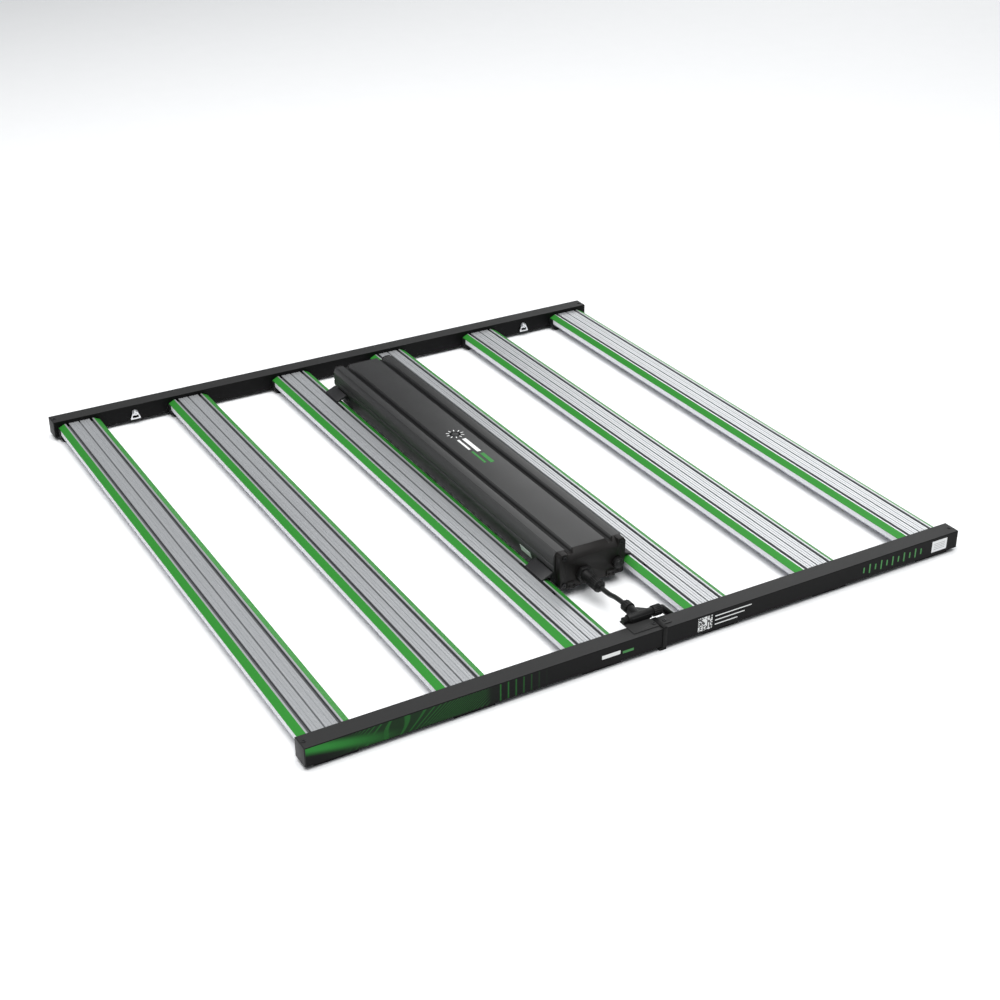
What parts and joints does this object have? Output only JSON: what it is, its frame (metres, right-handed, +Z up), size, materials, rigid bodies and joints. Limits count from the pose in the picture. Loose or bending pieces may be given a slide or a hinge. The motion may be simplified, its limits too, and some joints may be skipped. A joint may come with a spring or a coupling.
{
  "type": "led grow light",
  "caption": "Square LED grow light: slim aluminium light bars between two black end rails, with a long driver and a plugged output lead across the middle.",
  "frame": {"origin": "centre of the footprint, on the surface that the bar brackets stand on", "axes": "+X along the end rails, +Y along the light bars towards the rear rail, +Z up; the LEDs face -Z"},
  "size_m": [1.09, 1.091, 0.072],
  "materials": {
    "rail_black": "satin black powder coat",
    "cap_plastic": "moulded black nylon",
    "bar_aluminium": "natural anodised lands with green anodised shoulders",
    "led_board_white": "white solder mask",
    "lens_clear": "frosted clear polycarbonate",
    "bracket_plastic": "glass filled nylon",
    "screw_black": "black oxide",
    "driver_paint": "fine textured graphite powder coat",
    "driver_cap_paint": "black powder coated casting",
    "circuit_green": "solder mask",
    "transformer_steel": "varnished core and tape",
    "capacitor_sleeve": "shrink sleeve",
    "potentiometer_body": "moulded body",
    "knob_plastic": "ridged black knob",
    "socket_plastic": "moulded black nylon",
    "ring_plastic": "ridged black nylon",
    "plug_rubber": "overmoulded black PVC",
    "lead_rubber": "round black sheath",
    "bracket_steel": "graphite powder coat",
    "clamp_black": "black anodised strip",
    "plate_black": "powder coat",
    "strap_nylon": "black nylon tie",
    "link_zinc": "bright zinc plate",
    "bolt_zinc": "bright zinc plate",
    "wire_red": "insulated wire",
    "connector_black": "moulded plug"
  },
  "bodies": {
    "fixture": {"bar_bracket_screws": "screw_black", "bar_connectors": "connector_black", "bar_heatsink_1": "bar_aluminium", "bar_heatsink_2": "bar_aluminium", "bar_heatsink_3": "bar_aluminium", "bar_heatsink_4": "bar_aluminium", "bar_heatsink_5": "bar_aluminium", "bar_heatsink_6": "bar_aluminium", "bar_lens_1": "lens_clear", "bar_lens_2": "lens_clear", "bar_lens_3": "lens_clear", "bar_lens_4": "lens_clear", "bar_lens_5": "lens_clear", "bar_lens_6": "lens_clear", "dimmer_potentiometer": "potentiometer_body", "driver_brackets": "bracket_steel", "driver_cap_screws": "screw_black", "driver_capacitors": "capacitor_sleeve", "driver_circuit_board": "circuit_green", "driver_front_cap": "driver_cap_paint", "driver_housing": "driver_paint", "driver_rear_cap": "driver_cap_paint", "driver_transformers": "transformer_steel", "feed_elbow": "plug_rubber", "front_bar_brackets": "bracket_plastic", "front_rail": "rail_black", "groove_clamps": "clamp_black", "hanger_bolts": "bolt_zinc", "hanger_rivet_nuts": "bolt_zinc", "led_board_1": "led_board_white", "led_board_2": "led_board_white", "led_board_3": "led_board_white", "led_board_4": "led_board_white", "led_board_5": "led_board_white", "led_board_6": "led_board_white", "mains_gland": "socket_plastic", "output_lead": "lead_rubber", "output_plug": "plug_rubber", "output_socket": "socket_plastic", "rail_end_caps": "cap_plastic", "rail_screws": "screw_black", "rail_wires": "wire_red", "rear_bar_brackets": "bracket_plastic", "rear_rail": "rail_black", "splitter_blank_cap": "ring_plastic", "splitter_body": "plug_rubber", "splitter_plate": "plate_black", "splitter_strap": "strap_nylon"},
    "dimmer_knob": {"dimmer_knob": "knob_plastic"},
    "output_ring": {"output_coupling_ring": "ring_plastic"},
    "inlet_ring": {"splitter_inlet_ring": "ring_plastic"},
    "outlet_ring": {"splitter_outlet_ring": "ring_plastic"},
    "gland_nut": {"mains_gland_nut": "socket_plastic"},
    "hanger_1": {"hanger_link_1": "link_zinc"},
    "hanger_2": {"hanger_link_2": "link_zinc"},
    "hanger_3": {"hanger_link_3": "link_zinc"},
    "hanger_4": {"hanger_link_4": "link_zinc"}
  },
  "joints": [
    {"name": "dimmer_turn", "type": "hinge", "parent": "fixture", "child": "dimmer_knob", "pos_m": [0.042, -0.363, 0.035], "axis": [0, -1, 0], "range_deg": [-140, 140]},
    {"name": "output_ring_turn", "type": "hinge", "parent": "fixture", "child": "output_ring", "pos_m": [-0.0156, -0.393, 0.0316], "axis": [0, 1, 0], "continuous": true},
    {"name": "inlet_ring_turn", "type": "hinge", "parent": "fixture", "child": "inlet_ring", "pos_m": [-0.0195, -0.48, 0.0412], "axis": [0, 1, 0], "continuous": true},
    {"name": "outlet_ring_turn", "type": "hinge", "parent": "fixture", "child": "outlet_ring", "pos_m": [0.01, -0.5068, 0.0412], "axis": [1, 0, 0], "continuous": true},
    {"name": "gland_nut_turn", "type": "hinge", "parent": "fixture", "child": "gland_nut", "pos_m": [0, 0.4255, 0.046], "axis": [0, 1, 0], "continuous": true},
    {"name": "hanger_1_swing", "type": "hinge", "parent": "fixture", "child": "hanger_1", "pos_m": [-0.4, -0.5137, 0.0215], "axis": [0, 1, 0], "continuous": true},
    {"name": "hanger_2_swing", "type": "hinge", "parent": "fixture", "child": "hanger_2", "pos_m": [0.4, -0.5137, 0.0215], "axis": [0, 1, 0], "continuous": true},
    {"name": "hanger_3_swing", "type": "hinge", "parent": "fixture", "child": "hanger_3", "pos_m": [-0.4, 0.5137, 0.0215], "axis": [0, 1, 0], "continuous": true},
    {"name": "hanger_4_swing", "type": "hinge", "parent": "fixture", "child": "hanger_4", "pos_m": [0.4, 0.5137, 0.0215], "axis": [0, 1, 0], "continuous": true}
  ]
}
